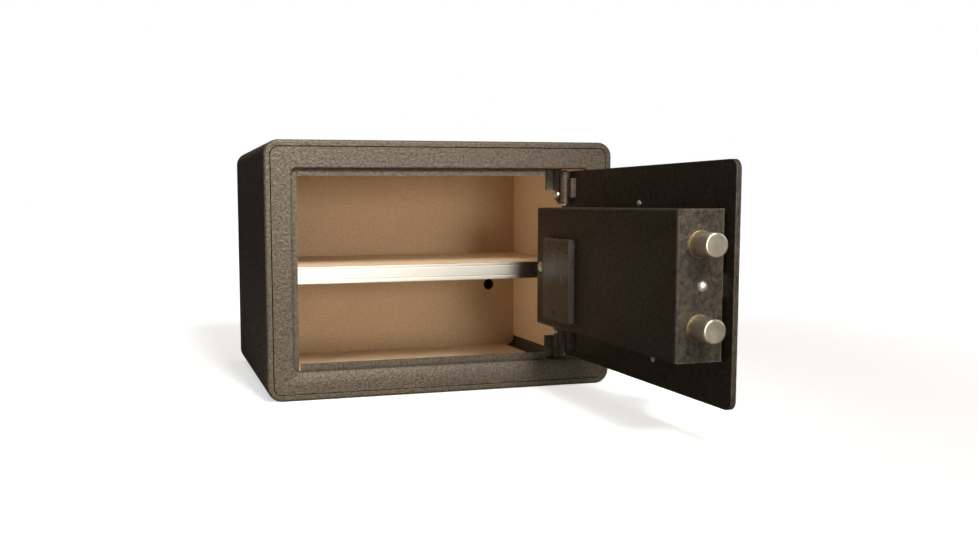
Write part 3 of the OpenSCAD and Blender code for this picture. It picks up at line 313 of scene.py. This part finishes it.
# Width of the eased edges, in millimetres, and where a node's differs from it
USUAL_EASE = 0.3
EASE = {"body_shell": 0.35, "front_frame": 0.35, "door_plate": 0.7, "mechanism_cover": 0.25,
        "battery_lid": 0.45, "fascia": 0.6, "knob": 0.7, "locking_bolts": 0.25, "lining_back": 0.8,
        "lining_sides": 0.8, "lining_top": 0.8, "lining_floor": 0.8, "shelf_mat": 0.4, "shelf_trim": 0.12,
        "shelf_panel": 0.2}
NOT_EASED = {"plunger_spring", "cable_harness"}
WELD_REACH = 0.002 * MM
FLAT_ANGLE = math.radians(0.4)      # faces closer than this in angle are one flat face
SHARP_ANGLE = math.radians(32)      # edges sharper than this are eased
FLAT_WEIGHT = 60                    # how strongly large faces keep their shading flat


def finish_node(name):
    """Eases the edges of a carried-over part and gives it its material."""
    ob = nodes[name]
    mesh = ob.data
    mesh.materials.clear()
    mesh.materials.append(SPECIAL.get(name, BY_SLOT[slot_of_node[name]]))
    if "custom_normal" in mesh.attributes:
        mesh.attributes.remove(mesh.attributes["custom_normal"])
    mesh.shade_smooth()
    weld = ob.modifiers.new("weld", "WELD")
    weld.merge_threshold = WELD_REACH
    if name in NOT_EASED:
        return
    flat = ob.modifiers.new("flat", "DECIMATE")
    flat.decimate_type = "DISSOLVE"
    flat.angle_limit = FLAT_ANGLE
    ease = ob.modifiers.new("ease", "BEVEL")
    ease.width = EASE.get(name, USUAL_EASE) * MM
    ease.segments = 2
    ease.limit_method = "ANGLE"
    ease.angle_limit = SHARP_ANGLE
    ease.use_clamp_overlap = True
    normal = ob.modifiers.new("normal", "WEIGHTED_NORMAL")
    normal.keep_sharp = True
    normal.weight = FLAT_WEIGHT


for node_name in nodes:
    finish_node(node_name)


# ---------- keypad numerals ----------

NUMERAL_SIZE = 6.6 * MM
STAR_SIZE = 9 * MM
INK = 0.04 * MM                     # half the thickness of the print
PROUD = 0.03 * MM                   # how far its middle stands off the key


def numeral(name, text, key):
    """A generic numeral, printed slightly proud of the face of its key."""
    lo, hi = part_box(key)
    curve = bpy.data.curves.new(name, "FONT")
    curve.body = text
    curve.size = STAR_SIZE if text == "*" else NUMERAL_SIZE
    curve.extrude = INK
    curve.align_x, curve.align_y = "CENTER", "CENTER"
    made = bpy.data.objects.new(name + "_curve", curve)
    bpy.context.scene.collection.objects.link(made)
    bpy.context.view_layer.update()
    mesh = bpy.data.meshes.new_from_object(made.evaluated_get(bpy.context.evaluated_depsgraph_get()))
    bpy.data.objects.remove(made)
    xs, ys = [v.co.x for v in mesh.vertices], [v.co.y for v in mesh.vertices]
    middle = Vector(((min(xs) + max(xs)) / 2, (min(ys) + max(ys)) / 2, 0))
    turn = Matrix(((0, 0, 1), (1, 0, 0), (0, 1, 0))).to_4x4()
    mesh.transform(turn @ Matrix.Translation(-middle))
    mesh.transform(Matrix.Translation((hi.x + PROUD, (lo.y + hi.y) / 2, (lo.z + hi.z) / 2)))
    mesh.materials.clear()
    mesh.materials.append(DIGIT)
    ob = bpy.data.objects.new(name, mesh)
    bpy.context.scene.collection.objects.link(ob)
    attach(ob, body_of_node[key])


for digit in "1234567890":
    numeral("numeral_" + digit, digit, "key_" + digit)
numeral("numeral_star", "*", "key_star")
numeral("numeral_hash", "#", "key_hash")


# ---------- studio ----------

HOLE_CORNERS = 32
FLOOR_REACH = 12.0
FLOOR_DROP = 0.6 * MM               # keeps the floor off the cabinet's underside
WARM = (1.0, 0.93, 0.82)
AMBER = (1.0, 0.84, 0.64)
DAYLIGHT = (1.0, 0.97, 0.93)
PAPER_WHITE = (1.0, 0.95, 0.9)


def studio():
    """The pale floor and the light from all round; the camera sees both brighter than the safe does."""
    floor_mesh = bpy.data.meshes.new("floor")
    bm = bmesh.new()
    bmesh.ops.create_grid(bm, x_segments=2, y_segments=2, size=FLOOR_REACH)
    bm.to_mesh(floor_mesh)
    bm.free()
    floor = bpy.data.objects.new("floor", floor_mesh)
    floor.location.z = -FLOOR_DROP
    bpy.context.scene.collection.objects.link(floor)
    s = Shader("floor_paper")
    seen = s.node("ShaderNodeLightPath").outputs["Is Camera Ray"]
    grain = s.noise(300.0, 3.0)
    paper = s.mix(grain, (0.83, 0.83, 0.82), (0.87, 0.87, 0.86))
    s.set(Base_Color=s.mix(seen, (0.16, 0.15, 0.14), paper), Roughness=0.9, Specular_IOR_Level=0.1)
    away = s.node("ShaderNodeVectorMath", operation="LENGTH")
    s.put(away.inputs[0], s.at)
    glow = s.math("MULTIPLY", seen, s.map(away.outputs["Value"], 0.3, 1.6, 0.62, 1.0, True))
    s.put(s.surface.inputs["Emission Color"], (1.0, 1.0, 1.0))
    s.put(s.surface.inputs["Emission Strength"], glow)
    floor.data.materials.append(s.material)

    world = bpy.data.worlds.new("studio")
    bpy.context.scene.world = world
    world.use_nodes = True
    tree = world.node_tree
    tree.nodes.clear()
    out = tree.nodes.new("ShaderNodeOutputWorld")
    mix = tree.nodes.new("ShaderNodeMixShader")
    dim = tree.nodes.new("ShaderNodeBackground")
    bright = tree.nodes.new("ShaderNodeBackground")
    ray = tree.nodes.new("ShaderNodeLightPath")
    dim.inputs[0].default_value = (1.0, 0.95, 0.88, 1)
    dim.inputs[1].default_value = 0.08
    bright.inputs[0].default_value = (1, 1, 1, 1)
    bright.inputs[1].default_value = 1.0
    tree.links.new(ray.outputs["Is Camera Ray"], mix.inputs[0])
    tree.links.new(dim.outputs[0], mix.inputs[1])
    tree.links.new(bright.outputs[0], mix.inputs[2])
    tree.links.new(mix.outputs[0], out.inputs[0])


def hang(name, light, at, aim, power, colour):
    """Puts a light in the scene, pointed from one place to another."""
    light.energy = power
    light.color = colour
    ob = bpy.data.objects.new(name, light)
    ob.location = at
    ob.rotation_euler = (Vector(aim) - Vector(at)).to_track_quat("-Z", "Y").to_euler()
    bpy.context.scene.collection.objects.link(ob)


def softbox(name, at, aim, size, power, colour, spread=180):
    """A rectangular light that shines evenly within its spread."""
    light = bpy.data.lights.new(name, "AREA")
    light.spread = math.radians(spread)
    light.shape = "RECTANGLE"
    light.size, light.size_y = size
    hang(name, light, at, aim, power, colour)


def spot(name, at, aim, spread, radius, power, colour):
    """A light that fades from its aim outwards."""
    light = bpy.data.lights.new(name, "SPOT")
    light.spot_size = math.radians(spread)
    light.spot_blend = 1.0
    light.shadow_soft_size = radius
    hang(name, light, at, aim, power, colour)


def anchor_hole_shade():
    """A dark disc in each anchor hole, seen only from the front: painted shade where the wall the safe is
    bolted to would show through the holes.
    """
    anchors = next(m for m in frame["record"]["mounts"] if m["name"] == "wall_anchors")
    apart, radius = anchors["dims"]["spacing_x_mm"] * MM, anchors["dims"]["hole_r_mm"] * MM
    x0, y0, z0 = anchors["pos_m"]
    mesh = bpy.data.meshes.new("anchor_hole_shade")
    corners, faces = [], []
    for side in (-0.5, 0.5):
        start = len(corners)
        for i in range(HOLE_CORNERS):
            turn = math.tau * i / HOLE_CORNERS
            corners.append((x0 + side * apart + radius * math.cos(turn), y0 - 0.5 * MM,
                            z0 + radius * math.sin(turn)))
        faces.append(range(start, start + HOLE_CORNERS))
    mesh.from_pydata(corners, [], faces)
    ob = bpy.data.objects.new("anchor_hole_shade", mesh)
    bpy.context.scene.collection.objects.link(ob)
    s = Shader("wall_shadow")
    s.set(Base_Color=s.mix(s.noise(40.0), (0.006, 0.005, 0.004), (0.010, 0.008, 0.007)), Roughness=1.0,
          Alpha=s.math("SUBTRACT", 1.0, s.node("ShaderNodeNewGeometry").outputs["Backfacing"]))
    mesh.materials.append(s.material)


SENSOR_WIDTH = 36.0
FOCAL_LENGTH = 34.5671
SHIFT = (0.094949, 0.013108)        # of the picture's middle, in picture widths
CAMERA_AT = (-0.28698, -1.01415, 0.19010)
CAMERA_RIGHT = Vector((0.96619, -0.25773, -0.0066))
CAMERA_UP = Vector((0.02967, 0.08574, 0.99588))
CAMERA_AHEAD = Vector((0.2561, 0.9624, -0.09049))


def camera():
    data = bpy.data.cameras.new("camera")
    data.sensor_width = SENSOR_WIDTH
    data.lens = FOCAL_LENGTH
    data.shift_x, data.shift_y = SHIFT
    ob = bpy.data.objects.new("camera", data)
    turn = Matrix((CAMERA_RIGHT, CAMERA_UP, -CAMERA_AHEAD)).transposed().to_4x4()
    ob.matrix_world = Matrix.Translation(CAMERA_AT) @ turn
    bpy.context.scene.collection.objects.link(ob)
    bpy.context.scene.camera = ob


studio()
anchor_hole_shade()
spot("key", (0.07, -1.25, 1.05), (-0.22, -0.13, 0.25), 46, 0.22, 170, WARM)
softbox("front", (0.05, -1.6, 0.24), (0.0, -0.1, 0.13), (0.3, 0.35), 8, WARM)
for height in (0.07, 0.185):
    softbox("bounce", (-0.165, 0.02, height), (0.17, 0.02, height), (0.14, 0.07), 0.03, AMBER, 60)
softbox("fill_right", (1.8, -0.9, 0.8), (0.1, -0.2, 0.1), (1.2, 1.0), 6, PAPER_WHITE)
softbox("top", (0.0, 0.3, 2.2), (0.0, 0.0, 0.1), (1.6, 1.6), 10, DAYLIGHT)
camera()
view = bpy.context.scene.view_settings
view.view_transform = "Standard"
